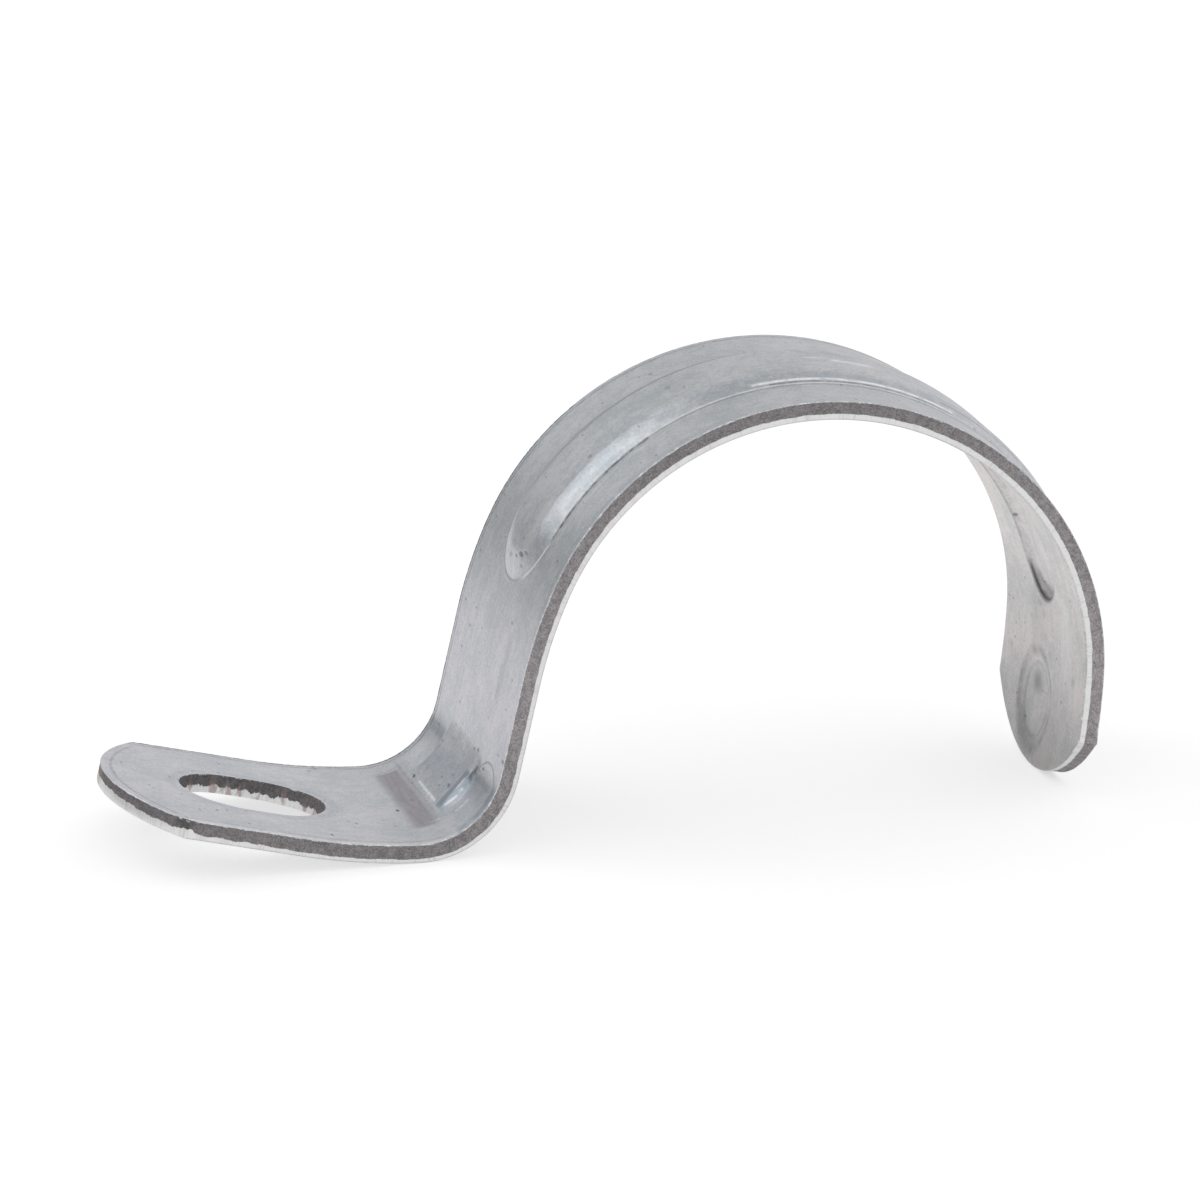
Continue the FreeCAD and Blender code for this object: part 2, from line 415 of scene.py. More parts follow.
def bendStrap(strap):
    path = drawPath()
    strap.data.transform(Matrix.Translation((bends["lead"] * mm, 0, 0)))
    strap.data.transform(Matrix.Rotation(math.radians(-90), 4, "X"))
    follow = strap.modifiers.new("bend", "CURVE")
    follow.object = path
    follow.deform_axis = "POS_X"
    applyModifier(strap, follow)
    strap.data.transform(Matrix.Rotation(math.radians(90), 4, "X"))
    bpy.data.objects.remove(path)


strap = makeBlank()
print("blank", len(strap.data.polygons), "faces")
bevelRim(strap, -sheet["thick"], sheet["rollover"], sheet["rolloverSteps"])
bevelRim(strap, 0, sheet["burr"], sheet["burrSteps"])
print("rims done", len(strap.data.polygons), "faces")
punchSlot(strap)
raiseBurrs(strap)
print("slot punched", len(strap.data.polygons), "faces")


class Nodes:                  # short calls for wiring a material or the world
    def __init__(self, owner):
        owner.use_nodes = True
        self.tree = owner.node_tree

    def add(self, kind, **settings):
        node = self.tree.nodes.new(kind)
        for key, value in settings.items():
            setattr(node, key, value)
        return node

    # a value is another node's socket, or a number or colour
    def put(self, socket, value):
        if isinstance(value, bpy.types.NodeSocket):
            self.tree.links.new(value, socket)
        else:
            socket.default_value = value

    def feed(self, node, *values):
        for socket, value in zip(node.inputs, values):
            self.put(socket, value)
        return node.outputs[0]

    def calc(self, operation, *values):
        return self.feed(self.add("ShaderNodeMath", operation=operation), *values)

    def plus(self, first, second):
        return self.calc("ADD", first, second)

    def minus(self, first, second):
        return self.calc("SUBTRACT", first, second)

    def times(self, first, *others):
        for value in others:
            first = self.calc("MULTIPLY", first, value)
        return first

    def larger(self, first, second):
        return self.calc("MAXIMUM", first, second)

    def hypot(self, dx, dy):
        return self.calc("SQRT", self.plus(self.times(dx, dx), self.times(dy, dy)))

    # adds up the named layers, each by its own share
    def weigh(self, layers, shares, total=None):
        for name, share in shares.items():
            part = self.times(layers[name], share)
            total = part if total is None else self.plus(total, part)
        return total

    # a soft change from one result to another, between a low and a high value
    def ramp(self, value, low, high, atLow=0.0, atHigh=1.0):
        node = self.add("ShaderNodeMapRange", interpolation_type="SMOOTHSTEP")
        return self.feed(node, value, low, high, atLow, atHigh)

    # mixes two colours; a mix node's colour sockets are numbers 6 and 7
    def blend(self, share, first, second, kind="MIX"):
        node = self.add("ShaderNodeMix", data_type="RGBA", blend_type=kind)
        for index, value in ((0, share), (6, first), (7, second)):
            self.put(node.inputs[index], value)
        return node.outputs[2]

    # the place on the flat blank, and its three parts
    def readFlat(self):
        place = self.add("ShaderNodeAttribute", attribute_name="flat")
        split = self.add("ShaderNodeSeparateXYZ")
        self.flat = place.outputs["Vector"]
        self.put(split.inputs[0], self.flat)
        self.along, self.across, self.level = split.outputs

    def stretched(self, stretch):
        node = self.add("ShaderNodeMapping")
        self.put(node.inputs["Vector"], self.flat)
        self.put(node.inputs["Scale"], stretch)
        return node.outputs[0]

    # noise on the flat blank
    def noise(self, stretch, scale, detail, roughness):
        place = self.stretched(stretch) if stretch else self.flat
        node = self.add("ShaderNodeTexNoise")
        self.put(node.inputs["Vector"], place)
        self.put(node.inputs["Scale"], scale)
        self.put(node.inputs["Detail"], detail)
        self.put(node.inputs["Roughness"], roughness)
        return node.outputs["Fac"]

    # 1 inside a box on the flat blank, with soft sides
    def patch(self, box, soft, across=None):
        x0, x1, y0, y1 = box
        across = self.across if across is None else across
        return self.times(self.ramp(self.along, x0 - soft, x0 + soft),
                          self.ramp(self.along, x1 - soft, x1 + soft, 1.0, 0.0),
                          self.ramp(across, y0 - soft, y0 + soft),
                          self.ramp(across, y1 - soft, y1 + soft, 1.0, 0.0))

    # distance from a spot on the flat blank; a spot can be drawn out across the strip
    def fromSpot(self, x, y, drawn=1.0):
        dx = self.minus(self.along, x)
        dy = self.minus(self.across, y)
        if drawn != 1.0:
            dy = self.calc("DIVIDE", dy, drawn)
        return self.hypot(dx, dy)

    # 1 on a ring of a given radius and half width
    def ring(self, distance, radius, halfWidth):
        off = self.calc("ABSOLUTE", self.minus(distance, radius))
        return self.ramp(off, 0.0, halfWidth, 1.0, 0.0)

    # a line round a band that runs along the strip and has round ends
    def outline(self, first, last, radius, halfWidth):
        past = self.larger(self.minus(first, self.along), self.minus(self.along, last))
        past = self.larger(past, 0.0)
        return self.ring(self.hypot(past, self.across), radius, halfWidth)

    # a value or colour that changes along the strip, given at a few places on it
    def zones(self, stops):
        node = self.add("ShaderNodeValToRGB")
        first = stops[0][0]
        reach = stops[-1][0] - first
        marks = node.color_ramp.elements
        while len(marks) < len(stops):
            marks.new(1.0)
        for mark, (place, tone) in zip(marks, stops):
            mark.position = (place - first) / reach
            mark.color = tone if isinstance(tone, tuple) else (tone, tone, tone, 1)
        return self.feed(node, self.calc("DIVIDE", self.minus(self.along, first), reach))

    # a surface that stands up by a height in millimetres
    def relief(self, shader, height):
        bump = self.add("ShaderNodeBump")
        self.put(bump.inputs["Strength"], 1)
        self.put(bump.inputs["Distance"], mm)
        self.put(bump.inputs["Height"], height)
        self.put(shader.inputs["Normal"], bump.outputs[0])


def startMaterial(name):
    material = bpy.data.materials.new(name)
    n = Nodes(material)
    return material, n, n.tree.nodes["Principled BSDF"]


# Boxes are given as from and to along, from and to across. Soft changes are given as the low and
# high value, and then what comes at each if that isn't 0 and 1. All lengths are in millimetres.
zinc = {
    "cool": (0.66, 0.695, 0.73, 1),
    "warm": (0.89, 0.875, 0.895, 1),
    # bright and blue are laid on below mostly as painted highlights and painted shade, and dark also as
    # painted shade in creases
    "bright": (0.97, 0.97, 0.98, 1),
    "dark": (0.12, 0.12, 0.125, 1),
    "blue": (0.27, 0.33, 0.38, 1),
    "dieMark": (0.40, 0.38, 0.405, 1),
    # noises: stretch, scale, detail, roughness
    "noises": {
        "clouds": (None, 0.16, 4, 0.6),
        "blotches": (None, 0.9, 3, 0.6),
        "streaks": ((0.2, 2.2, 1), 1.0, 4, 0.65),
        "grain": ((1.2, 0.8, 1), 3.2, 4, 0.8),
        "waves": ((0.3, 0.5, 1), 1.0, 3, 0.5),
    },
    "toneShares": {"clouds": 0.25, "streaks": 0.1, "blotches": 0.2, "grain": 0.45},
    "toneRange": (0.42, 0.58),
    "roughness": 0.34,
    "roughnessShares": {"grain": 0.1, "blotches": 0.08, "smear": 0.15},
    "relief": {"waves": 0.02, "blotches": 0.012, "grain": 0.012,
               "pits": -0.05, "specks": -0.012, "creases": -0.04},
    "specks": {"stretch": (1.9, 0.7, 1), "scale": 0.8, "near": (0.1, 0.24, 1.0, 0.0),
               "chosen": (0.76, 0.9), "strength": 0.4},
    "rimGlints": {"across": (12.4, 12.55), "noise": (None, 1.6, 4, 0.8),
                  "broken": (0.52, 0.58), "strength": 0.9},
    "rubsAndHighlightsDull": 0.9,        # how much of the metal's shine the bright rubs and painted highlights take away
    # how the tone changes along each face; partly painted shade and light: darker at the heel and lighter
    # on the leg, and on the inner face lighter by the end of the bead's hollow and darker towards the tip
    "outerTone": [
        (-6, (0.84, 0.835, 0.86, 1)), (18, (0.83, 0.83, 0.84, 1)), (25, (0.75, 0.77, 0.79, 1)),
        (28.0, (0.80, 0.82, 0.85, 1)), (29.6, (0.99, 0.99, 1.0, 1)), (32, (0.95, 0.94, 0.97, 1)),
        (39, (0.93, 0.92, 0.945, 1)), (44, (0.86, 0.865, 0.865, 1)), (52, (0.80, 0.825, 0.835, 1)),
        (66, (0.785, 0.805, 0.81, 1)), (82, (0.76, 0.76, 0.765, 1)), (130, (0.76, 0.76, 0.765, 1)),
    ],
    "innerTone": [
        (-6, (0.82, 0.81, 0.80, 1)), (90, (0.92, 0.89, 0.86, 1)), (100, (1.0, 0.965, 0.93, 1)),
        (109, (1.0, 0.96, 0.925, 1)), (114, (0.87, 0.84, 0.81, 1)), (120, (0.86, 0.825, 0.795, 1)),
        (125, (0.69, 0.67, 0.65, 1)), (130, (0.60, 0.585, 0.565, 1)),
    ],
    # straight marks on the outer face, mostly painted shade and painted highlights at the heel, along the
    # bead's creases and by the rims, and a few rubs: a box, softness, strength, tone
    "marks": [
        (23.5, 23.7, -5.0, 11.0, 0.15, 0.3, "dark"),
        (23.0, 23.15, -4.0, 9.0, 0.1, 0.2, "dark"),
        (24.08, 24.3, -3.0, 3.4, 0.12, 0.9, "bright"),
        (28.0, 29.0, 7.0, 12.0, 0.35, 0.5, "blue"),
        (28.1, 28.8, -11.0, -5.2, 0.3, 0.55, "blue"),
        (24.8, 27.9, -4.2, 6.2, 0.7, 0.33, "blue"),
        (24.2, 29.0, -12.3, -11.3, 0.35, 0.7, "blue"),
        (24.4, 27.8, 6.9, 11.2, 0.5, 0.22, "bright"),
        (24.6, 26.8, -5.5, -5.25, 0.15, 0.8, "bright"),
        (26.4, 27.6, -4.9, -4.7, 0.12, 0.6, "bright"),
        (25.4, 26.4, -6.2, -6.0, 0.15, 0.6, "bright"),
        (25.0, 26.6, -7.9, -7.5, 0.15, 0.5, "bright"),
        (25.2, 27.2, 6.6, 6.85, 0.2, 0.5, "bright"),
        (-1.0, 24.0, -12.7, -12.05, 0.15, 0.3, "bright"),
        (0.0, 23.0, -11.8, -11.4, 0.2, 0.22, "dark"),
        (-1.0, 90.0, 11.7, 12.0, 0.15, 0.45, "dark"),
        (-1.0, 60.0, 12.35, 12.9, 0.1, 0.95, "dark"),
        (27.7, 29.2, -5.6, -5.15, 0.15, 0.8, "dark"),
        (30.5, 44.0, 6.0, 6.3, 0.15, 0.12, "dark"),
        (35.5, 38.5, -5.6, -5.2, 0.25, 0.2, "dark"),
        (64.0, 90.0, -5.9, -4.2, 0.6, 0.35, "blue"),
        (51.5, 62.5, -6.55, -6.1, 0.16, 0.85, "dark"),
        (50.3, 51.5, -6.45, -6.1, 0.16, 0.5, "dark"),
        (49.2, 50.3, -6.35, -6.0, 0.16, 0.25, "dark"),
        (62.5, 99.0, -6.4, -6.2, 0.14, 0.35, "dark"),
        (90.0, 100.0, -4.6, -4.35, 0.14, 0.5, "dark"),
        (52.0, 64.0, -4.4, -3.2, 0.5, 0.25, "blue"),
        (74.0, 91.0, -5.85, -5.65, 0.12, 0.6, "dark"),
        (72.5, 91.0, -5.52, -5.2, 0.12, 1.0, "bright"),
        (64.0, 91.0, -6.05, -5.9, 0.1, 0.7, "bright"),
        (28.6, 29.6, -6.4, -6.1, 0.15, 0.6, "bright"),
        (22.8, 23.6, -7.3, -7.0, 0.15, 0.5, "bright"),
        (49.5, 64.0, -7.5, -7.25, 0.12, 0.3, "bright"),
        (81.0, 84.5, -0.2, 0.3, 0.4, 0.9, "bright"),
        (78.6, 81.4, 0.5, 0.7, 0.2, 0.6, "bright"),
        (44.0, 70.0, -12.4, -11.6, 0.3, 0.25, "blue"),
    ],
    # painted shade and painted highlights on each face, given as the marks are but not broken up
    "outerPaintedShadeAndLight": [
        (24.0, 28.3, -5.8, -3.8, 0.25, 0.75, "blue"), (49.5, 52.5, -5.9, -4.8, 0.5, 0.3, "blue"),
        (48.0, 53.0, -3.6, -2.2, 0.6, 0.3, "bright"), (35.0, 41.0, -6.6, -5.3, 0.6, 0.22, "blue"),
        (53.0, 60.0, -5.9, -5.3, 0.3, 0.3, "blue"), (24.5, 29.2, -10.5, -6.2, 0.8, 0.14, "blue"),
    ],
    "innerPaintedShadeAndLight": [
        (103.5, 112.3, -4.2, 3.8, 0.7, 0.35, "bright"), (113.5, 118.5, 0.0, 4.5, 1.2, 0.12, "dark"),
        (123.0, 130.0, -6.0, -1.0, 1.8, 0.12, "dark"), (112.0, 120.0, -8.2, -5.4, 1.2, 0.22, "bright"),
    ],
    # pits and stains: along, across, radius, strength
    "outerSpots": [
        (20.9, -1.9, 0.2, 1.0), (13.3, -10.2, 0.18, 0.9), (3.6, -7.4, 0.18, 0.7), (24.1, 5.2, 0.22, 0.9),
        (26.0, -2.9, 0.25, 0.7), (26.0, -0.2, 0.18, 0.4), (25.3, -1.1, 0.16, 0.4), (22.6, 0.1, 0.16, 0.5),
        (30.1, -2.9, 0.18, 0.6), (30.3, -4.0, 0.2, 0.7), (29.4, -7.0, 0.2, 0.7), (29.0, -6.2, 0.16, 0.6),
        (47.6, -2.3, 0.3, 0.75), (47.2, -1.3, 0.2, 0.5), (48.0, -3.2, 0.22, 0.45), (46.7, -2.8, 0.2, 0.35),
        (48.8, -1.6, 0.18, 0.3), (46.9, 0.4, 0.3, 0.4), (31.5, -12.2, 0.25, 0.6), (40.4, 6.8, 0.16, 0.5),
        (66.6, 0.5, 0.3, 0.35), (57.7, -2.6, 0.25, 0.45), (66.7, 8.4, 0.3, 0.35), (42.1, -5.0, 0.22, 0.4),
        (38.6, 7.4, 0.18, 0.5), (36.4, 8.6, 0.16, 0.4), (-2.6, 4.5, 0.18, 0.5), (-1.2, -3.0, 0.16, 0.4),
    ],
    "innerSpots": [
        (121.9, 1.9, 1.7, 0.6), (106.2, 4.25, 0.25, 0.8), (119.0, -9.0, 0.8, 0.3), (120.6, 10.0, 0.7, 0.25),
        (114.3, 1.8, 0.7, 0.3), (115.2, 0.6, 0.6, 0.25), (116.4, 4.6, 0.6, 0.2), (118.6, -1.6, 0.8, 0.15),
    ],
    "outerDrawn": 2.2,        # they are this much longer across the strip
    "innerDrawn": 1.4,
    "stainFrom": 0.5,         # from this radius on, a spot is a stain without a full core
    "pitCore": 0.4,
    "pitGrain": (0.35, 0.6, 0.65, 1.0),
}

# what the outer face shows by itself
outer = {
    "smear": {"box": (21.3, 23.4, -6.6, 10.2), "soft": 0.55, "wander": 2.0,
              "noise": ((2.6, 0.4, 1), 1.0, 5, 0.75), "dragged": (0.3, 0.65, 0.7, 1.0)},
    "broken": {"noise": ((1.2, 2.6, 1), 1.0, 4, 0.7), "range": (0.36, 0.58, 0.25, 1.0)},
    "crease": {"halfWidth": 0.22, "across": (-3.5, 0.5, 0.16, 0.45)},
    "farShoulderShade": {"box": (48.0, 97.0, 3.8, 4.5), "soft": 0.15, "broken": (0.0, 1.0, 0.6, 1.0),
              "ends": (80.0, 96.0, 1.0, 0.0), "strength": (50.0, 66.0, 0.55, 0.95)},
    "endHighlight": {"outside": 0.1, "halfWidth": 0.25, "along": (49.4, 50.4, 0.8, 0.0),
                 "across": (-4.0, -2.6, 1.0, 0.0)},
    "heelShadeArc": {"centre": (26.5, -8.6), "radius": 3.8, "halfWidth": 0.2,
                "along": (28.8, 29.4, 0.0, 0.45)},
    "tipLine": {"inside": 0.9, "halfWidth": 0.25, "along": (-1.0, 0.0, 0.4, 0.0)},
    "washer": {"halfWidth": 0.75, "strength": 0.22},
}

# what the inner face shows by itself
inner = {
    "crease": {"halfWidth": 0.25, "across": (-3.5, 0.5, 0.1, 0.28)},
    "crescent": {"radius": 4.3, "halfWidth": 0.35, "along": (110.2, 111.6, 0.0, 0.9),
                 "across": (-3.4, -1.0)},
    "dimple": {"centre": (123.5, 1.6), "radius": 4.5, "halfWidth": 0.9, "innerRadius": 3.3,
               "innerHalfWidth": 0.4, "innerStrength": 0.6,
               "noise": (None, 0.55, 4, 0.6), "ragged": (0.3, 0.7, 0.1, 0.5)},
}


# the bending die's smear, the rubs with painted shade and highlights, the bead's outline in painted shade,
# a painted highlight, a painted shade arc and the washer's ring
def addOuterDetail(n, colour, layers):
    # the smear lies across the heel, dragged crossways
    look = outer["smear"]
    wandering = n.plus(n.across, n.times(layers["streaks"], look["wander"]))
    dragged = n.ramp(n.noise(*look["noise"]), *look["dragged"])
    layers["smear"] = n.times(n.patch(look["box"], look["soft"], wandering), dragged)
    colour = n.blend(layers["smear"], colour, zinc["dieMark"])

    # straight marks, each broken up a little: mostly painted shade and painted highlights, and a few rubs
    broken = n.ramp(n.noise(*outer["broken"]["noise"]), *outer["broken"]["range"])
    for *box, soft, strength, name in zinc["marks"]:
        mark = n.times(n.patch(box, soft), n.times(broken, strength))
        colour = n.blend(mark, colour, zinc[name])
        if name == "bright":
            layers["chalk"] = n.larger(layers["chalk"], mark)

    # painted shade: a dark line in the crease round the bead, and a dark line along its far shoulder, which
    # faces away from the light
    look = outer["crease"]
    crease = n.outline(bead["from"], bead["to"], bead["halfWidth"], look["halfWidth"])
    crease = n.times(crease, n.ramp(n.across, *look["across"]))
    look = outer["farShoulderShade"]
    farShoulderShade = n.times(n.patch(look["box"], look["soft"]), n.ramp(broken, *look["broken"]))
    farShoulderShade = n.times(farShoulderShade, n.ramp(n.along, *look["ends"]), n.ramp(n.along, *look["strength"]))
    layers["creases"] = n.larger(crease, farShoulderShade)
    colour = n.blend(layers["creases"], colour, zinc["dark"])

    # a painted highlight along the near side of the bead's end
    look = outer["endHighlight"]
    endHighlight = n.ring(n.fromSpot(bead["from"], 0.0), bead["halfWidth"] + look["outside"], look["halfWidth"])
    endHighlight = n.times(endHighlight, n.ramp(n.along, *look["along"]), n.ramp(n.across, *look["across"]))
    colour = n.blend(endHighlight, colour, zinc["bright"])
    layers["chalk"] = n.larger(layers["chalk"], endHighlight)

    # a dark arc at the heel in painted shade, where the strip rolls over, and a line inside the foot's
    # rounded rim
    look = outer["heelShadeArc"]
    heelShadeArc = n.ring(n.fromSpot(*look["centre"]), look["radius"], look["halfWidth"])
    colour = n.blend(n.times(heelShadeArc, n.ramp(n.along, *look["along"])), colour, zinc["dark"])
    look = outer["tipLine"]
    tipCentre = sheet["footRadius"] - sagitta(sheet["footRadius"], sheet["width"] / 2)
    tipLine = n.ring(n.fromSpot(tipCentre, 0.0), sheet["footRadius"] - look["inside"], look["halfWidth"])
    colour = n.blend(n.times(tipLine, n.ramp(n.along, *look["along"]), broken), colour, zinc["dark"])

    # a faint ring that a bolt's washer has rubbed round the slot
    look = outer["washer"]
    washer = n.outline(*slotEnds(), slot["width"] / 2 + look["halfWidth"], look["halfWidth"])
    return n.blend(n.times(washer, broken, look["strength"]), colour, zinc["blue"])


# painted shade along the edge of the bead's hollow and in a dark crescent at its end, and the dimple's
# rings drawn in painted shade
def addInnerDetail(n, colour, layers):
    look = inner["crease"]
    crease = n.outline(bead["from"], bead["hollowTo"], bead["hollowHalfWidth"], look["halfWidth"])
    layers["creases"] = n.times(crease, n.ramp(n.across, *look["across"]))
    colour = n.blend(layers["creases"], colour, zinc["dark"])

    # a dark crescent of painted shade on the hollow's end wall
    look = inner["crescent"]
    crescent = n.ring(n.fromSpot(bead["hollowTo"], 0.0), look["radius"], look["halfWidth"])
    crescent = n.times(crescent, n.ramp(n.along, *look["along"]), n.ramp(n.across, *look["across"]))
    colour = n.blend(crescent, colour, zinc["dark"])

    # the dimple's rings: painted shade at its edges
    look = inner["dimple"]
    distance = n.fromSpot(*look["centre"])
    ring = n.ring(distance, look["radius"], look["halfWidth"])
    innerRing = n.ring(distance, look["innerRadius"], look["innerHalfWidth"])
    innerRing = n.times(innerRing, look["innerStrength"])
    ragged = n.ramp(n.noise(*look["noise"]), *look["ragged"])
    return n.blend(n.times(n.larger(ring, innerRing), ragged), colour, zinc["dark"])


def galvanisedFace(side, addDetail):
    material, n, shader = startMaterial(side + "Face")
    n.readFlat()
    layers = {name: n.noise(*look) for name, look in zinc["noises"].items()}
    layers.update(smear=0.0, chalk=0.0)

    # soft clouds of warm and cool grey, faint streaks along the strip and a fine grain
    tone = n.ramp(n.weigh(layers, zinc["toneShares"]), *zinc["toneRange"])
    colour = n.blend(tone, zinc["cool"], zinc["warm"])
    # the tone along the strip, partly painted shade and light
    colour = n.blend(1.0, colour, n.zones(zinc[side + "Tone"]), "MULTIPLY")

    # small dark specks, on some of the cells
    look = zinc["specks"]
    cells = n.add("ShaderNodeTexVoronoi")
    n.put(cells.inputs["Vector"], n.stretched(look["stretch"]))
    n.put(cells.inputs["Scale"], look["scale"])
    chosen = n.feed(n.add("ShaderNodeSeparateColor"), cells.outputs["Color"])
    near = n.ramp(cells.outputs["Distance"], *look["near"])
    layers["specks"] = n.times(near, n.ramp(chosen, *look["chosen"]))
    colour = n.blend(n.times(layers["specks"], look["strength"]), colour, zinc["dark"])

    # painted shade and painted highlights, laid on whole
    for *box, soft, strength, name in zinc[side + "PaintedShadeAndLight"]:
        colour = n.blend(n.times(n.patch(box, soft), strength), colour, zinc[name])
    colour = addDetail(n, colour, layers)

    # single pits and stains
    pits = 0.0
    for x, y, size, strength in zinc[side + "Spots"]:
        core = 0.0 if size > zinc["stainFrom"] else size * zinc["pitCore"]
        pits = n.larger(pits, n.ramp(n.fromSpot(x, y, zinc[side + "Drawn"]), core, size, strength, 0.0))
    layers["pits"] = n.times(pits, n.ramp(layers["grain"], *zinc["pitGrain"]))
    colour = n.blend(layers["pits"], colour, zinc["dark"])

    # painted highlights: glints of burr along the rims
    look = zinc["rimGlints"]
    glints = n.ramp(n.calc("ABSOLUTE", n.across), *look["across"])
    glints = n.times(glints, n.ramp(n.noise(*look["noise"]), *look["broken"]), look["strength"])
    colour = n.blend(glints, colour, zinc["bright"])
    chalk = n.larger(layers["chalk"], glints)

    n.put(shader.inputs["Base Color"], colour)
    n.put(shader.inputs["Metallic"], n.minus(1.0, n.times(chalk, zinc["rubsAndHighlightsDull"])))
    n.put(shader.inputs["Roughness"], n.weigh(layers, zinc["roughnessShares"], zinc["roughness"]))
    n.relief(shader, n.weigh(layers, zinc["relief"]))
    return material


# the tones, noises and soft changes are given as those of the zinc are
shear = {
    "torn": (0.64, 0.605, 0.62, 1),
    "tornDark": (0.30, 0.28, 0.29, 1),
    "rust": (0.45, 0.34, 0.31, 1),
    "burnished": (0.93, 0.93, 0.93, 1),
    "burnishedLine": (0.78, 0.78, 0.79, 1),
    "slotTone": (0.6, 0.6, 0.6, 1),
    "noises": {
        "grain": (None, 8.0, 4, 0.75),
        "coarse": (None, 2.0, 2, 0.5),
        "lines": ((3.0, 3.0, 0.35), 1.6, 3, 0.6),
        "wander": ((1, 1, 0.2), 0.8, 5, 0.7),
        "streaky": ((0.95, 0.95, 0.3), 1.0, 3, 0.6),
        "nicks": (None, 1.6, 3, 0.7),
        "glints": (None, 1.1, 4, 0.8),
    },
    "tornShares": {"grain": 0.75, "coarse": 0.25},
    "tornRange": (0.36, 0.64),
    "tornTone": [
        (-6, 0.42), (-1, 0.5), (2, 0.64), (20, 0.72), (36, 0.96), (50, 0.86), (62, 0.72), (82, 0.68),
        (98, 0.84), (116, 1.0), (130, 0.95),
    ],
    "lineRange": (0.3, 0.48),
    "slotBox": (0.75, 16.25, -5.7, 5.7),       # holds the slot's own wall and no other
    "slotSoft": 0.1,
    # how far the burnished band stands above or below the break level, along the strip
    "bandTop": [
        (-6, 0.35), (-2.5, 0.16), (-1.0, 0.05), (-0.3, 0.3), (0.4, 0.35), (1.0, -0.02), (10, -0.1),
        (20, -0.15), (36, -0.06), (60, 0.03), (130, 0.0),
    ],
    "bandLift": 0.25,         # keeps the band's values above 0 on their way through a colour ramp
    "ragged": (1.0, 18.0, 0.7, 0.32),
    "slotRagged": 1.1,
    "slotBand": 0.12,
    "tearEdge": (-0.03, 0.05),
    "streaks": (0.54, 0.64),
    "brown": 0.12,
    "slotBrown": (-0.1, 0.5, 0.6, 0.15),
    "rustSpot": {"box": (-5.4, -4.0, 0.8, 3.6), "soft": 0.5, "strength": 0.45},
    "notch": {"box": (-1.2, 0.5, -13.0, -11.8), "soft": 0.4, "broken": (0.4, 0.6, 0.1, 0.8)},
    "glint": {"level": (-0.16, -0.06), "broken": (0.5, 0.6)},
    "metal": 0.75,
    "tornMetal": -0.45,       # this and the next are added where the wall is torn
    "roughness": 0.42,
    "tornRoughness": 0.4,
    "tornRelief": {"grain": 0.05, "coarse": 0.04},
    "relief": {"lines": 0.008, "notch": -0.2},
}


def shearedEdge():
    material, n, shader = startMaterial("shearedEdge")
    n.readFlat()
    layers = {name: n.noise(*look) for name, look in shear["noises"].items()}

    isLight = n.ramp(n.weigh(layers, shear["tornShares"]), *shear["tornRange"])
    torn = n.blend(isLight, shear["tornDark"], shear["torn"])
    torn = n.blend(1.0, torn, n.zones(shear["tornTone"]), "MULTIPLY")
    isLight = n.ramp(layers["lines"], *shear["lineRange"])
    burnished = n.blend(isLight, shear["burnishedLine"], shear["burnished"])

    # the slot's own wall is darker, and more ragged where the tear ends
    inSlot = n.patch(shear["slotBox"], shear["slotSoft"])
    torn = n.blend(inSlot, torn, shear["slotTone"], "MULTIPLY")

    # the ragged level where the burnished band ends and the tear begins
    ragged = n.plus(n.ramp(n.along, *shear["ragged"]), n.times(inSlot, shear["slotRagged"]))
    wander = n.times(n.minus(layers["wander"], 0.5), ragged)
    tornFrom = n.plus(sheet["breakLevel"] - shear["bandLift"], wander)
    bandTop = [(place, height + shear["bandLift"]) for place, height in shear["bandTop"]]
    tornFrom = n.plus(tornFrom, n.zones(bandTop))
    tornFrom = n.plus(tornFrom, n.times(inSlot, shear["slotBand"]))
    above = n.minus(n.level, tornFrom)
    isTorn = n.ramp(above, *shear["tearEdge"])
    colour = n.blend(isTorn, burnished, torn)

    # brown streaks, mostly in the slot, and a rusty spot at the foot's tip
    inSlotBrown = n.times(inSlot, n.ramp(above, *shear["slotBrown"]))
    brown = n.times(n.ramp(layers["streaky"], *shear["streaks"]), n.plus(shear["brown"], inSlotBrown))
    look = shear["rustSpot"]
    brown = n.larger(brown, n.times(n.patch(look["box"], look["soft"]), look["strength"]))
    colour = n.blend(brown, colour, shear["rust"])

    # the notch at the foot's near corner
    look = shear["notch"]
    nicks = n.ramp(layers["nicks"], *look["broken"])
    layers["notch"] = n.times(n.patch(look["box"], look["soft"]), isTorn, nicks)
    colour = n.blend(layers["notch"], colour, zinc["dark"])

    # painted highlights: bright glints of burr along the upper corner
    look = shear["glint"]
    glint = n.times(n.ramp(n.level, *look["level"]), n.ramp(layers["glints"], *look["broken"]))
    colour = n.blend(glint, colour, shear["burnished"])

    n.put(shader.inputs["Base Color"], colour)
    n.put(shader.inputs["Metallic"], n.plus(shear["metal"], n.times(isTorn, shear["tornMetal"])))
    n.put(shader.inputs["Roughness"], n.plus(shear["roughness"], n.times(isTorn, shear["tornRoughness"])))
    height = n.times(n.weigh(layers, shear["tornRelief"]), isTorn)
    n.relief(shader, n.weigh(layers, shear["relief"], height))
    return material


strap.data.materials.clear()
strap.data.materials.append(galvanisedFace("outer", addOuterDetail))
strap.data.materials.append(shearedEdge())
strap.data.materials.append(galvanisedFace("inner", addInnerDetail))
tearWalls(strap)
keepFlatPlace(strap)
bendStrap(strap)
makeActive(strap)
bpy.ops.object.shade_smooth_by_angle(angle=math.radians(sheet["smoothUnder"]))
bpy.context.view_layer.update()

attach(strap, "root")
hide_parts("strap")

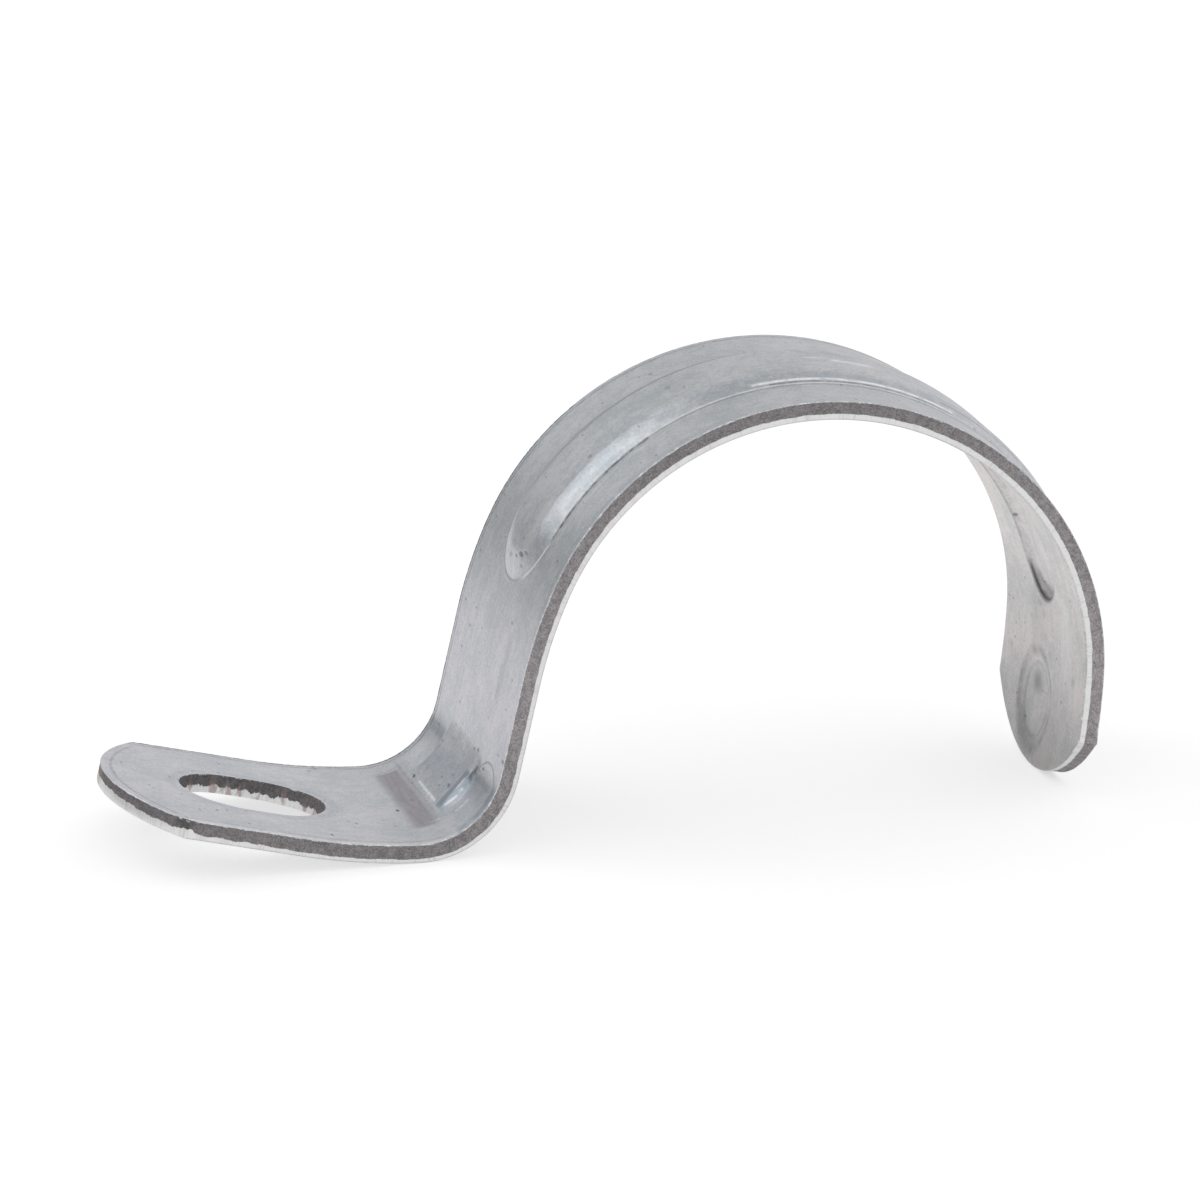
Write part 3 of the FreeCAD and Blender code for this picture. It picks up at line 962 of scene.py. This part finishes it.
stage = {
    "floorLevel": -11.94,
    "floorSize": 12.0,
    "paper": (0.60, 0.60, 0.60, 1),
    "paperRoughness": 0.9,
    "paperLift": 0.56,        # light of its own that the paper shows to the camera
    "paperGlow": 0.37,        # and in the metal's reflections
    "frontLight": 0.8,
    "backLight": 0.61,
    "backFrom": (-0.2, 0.6),  # where the front light changes to the back light
    "sideTurn": 0.43,         # how much brighter the back is to the right than to the left
    "horizonShade": 0.34,     # how much darker the back is low down on the left
    "horizonUp": (0.02, 0.4, 1.0, 0.0),
    "horizonSide": (-0.45, 0.15, 1.0, 0.0),
    "softbox": {"towards": (-0.6, 0.5, 0.62), "away": 0.75, "size": 0.5, "power": 0.85},
}


def makeFloor():
    deselectAll()
    bpy.ops.mesh.primitive_plane_add(size=stage["floorSize"], location=(0, 0, stage["floorLevel"] * mm))
    floor = bpy.context.object
    floor.name = "floor"
    paper, n, shader = startMaterial("paper")
    n.put(shader.inputs["Base Color"], stage["paper"])
    n.put(shader.inputs["Roughness"], stage["paperRoughness"])
    n.put(shader.inputs["Specular IOR Level"], 0)
    n.put(shader.inputs["Emission Color"], (1, 1, 1, 1))
    path = n.add("ShaderNodeLightPath")
    seen = n.times(path.outputs["Is Camera Ray"], stage["paperLift"])
    glow = n.times(path.outputs["Is Glossy Ray"], stage["paperGlow"])
    n.put(shader.inputs["Emission Strength"], n.plus(seen, glow))
    floor.data.materials.append(paper)


def makeWorld():
    world = bpy.data.worlds.new("studio")
    bpy.context.scene.world = world
    n = Nodes(world)
    background = n.tree.nodes["Background"]
    n.put(background.inputs["Color"], (1, 1, 1, 1))
    split = n.add("ShaderNodeSeparateXYZ")
    n.put(split.inputs[0], n.add("ShaderNodeTexCoord").outputs["Generated"])
    right, back, up = split.outputs
    shade = n.times(n.ramp(up, *stage["horizonUp"]), n.ramp(right, *stage["horizonSide"]))
    backLight = n.plus(stage["backLight"], n.times(right, stage["sideTurn"]))
    backLight = n.minus(backLight, n.times(shade, stage["horizonShade"]))
    isBack = n.ramp(back, *stage["backFrom"])
    light = n.plus(n.times(isBack, backLight), n.times(n.minus(1.0, isBack), stage["frontLight"]))

    # the camera itself sees plain white
    path = n.add("ShaderNodeLightPath")
    n.put(background.inputs["Strength"], n.larger(light, path.outputs["Is Camera Ray"]))


def makeSoftbox():
    box = stage["softbox"]
    lamp = bpy.data.objects.new("softbox", bpy.data.lights.new("softbox", "AREA"))
    bpy.context.scene.collection.objects.link(lamp)
    towards = Vector(box["towards"]).normalized()
    lamp.location = towards * box["away"]
    lamp.rotation_mode = "QUATERNION"
    lamp.rotation_quaternion = towards.to_track_quat("Z", "Y")
    lamp.data.size = box["size"]
    lamp.data.energy = box["power"]


makeFloor()
makeWorld()
makeSoftbox()
print("stage set")

view = {
    "place": (-0.203392, -0.800440, 0.230520),
    "towards": (0.2195585, 0.93951004, -0.26289723),
    "roll": -1.285,
    "sensor": 36,
    "lens": 294.476,
    "clip": (0.05, 20),
}
camera = bpy.data.objects.new("camera", bpy.data.cameras.new("camera"))
bpy.context.scene.collection.objects.link(camera)
forward = Vector(view["towards"]).normalized()
level = forward.cross(Vector((0, 0, 1))).normalized()
upright = level.cross(forward)
roll = math.radians(view["roll"])
right = level * math.cos(roll) + upright * math.sin(roll)
up = right.cross(forward)
camera.matrix_world = Matrix((right, up, -forward)).transposed().to_4x4()
camera.location = view["place"]
camera.data.sensor_width = view["sensor"]
camera.data.lens = view["lens"]
camera.data.clip_start, camera.data.clip_end = view["clip"]
bpy.context.scene.camera = camera

bpy.context.scene.view_settings.view_transform = "Standard"
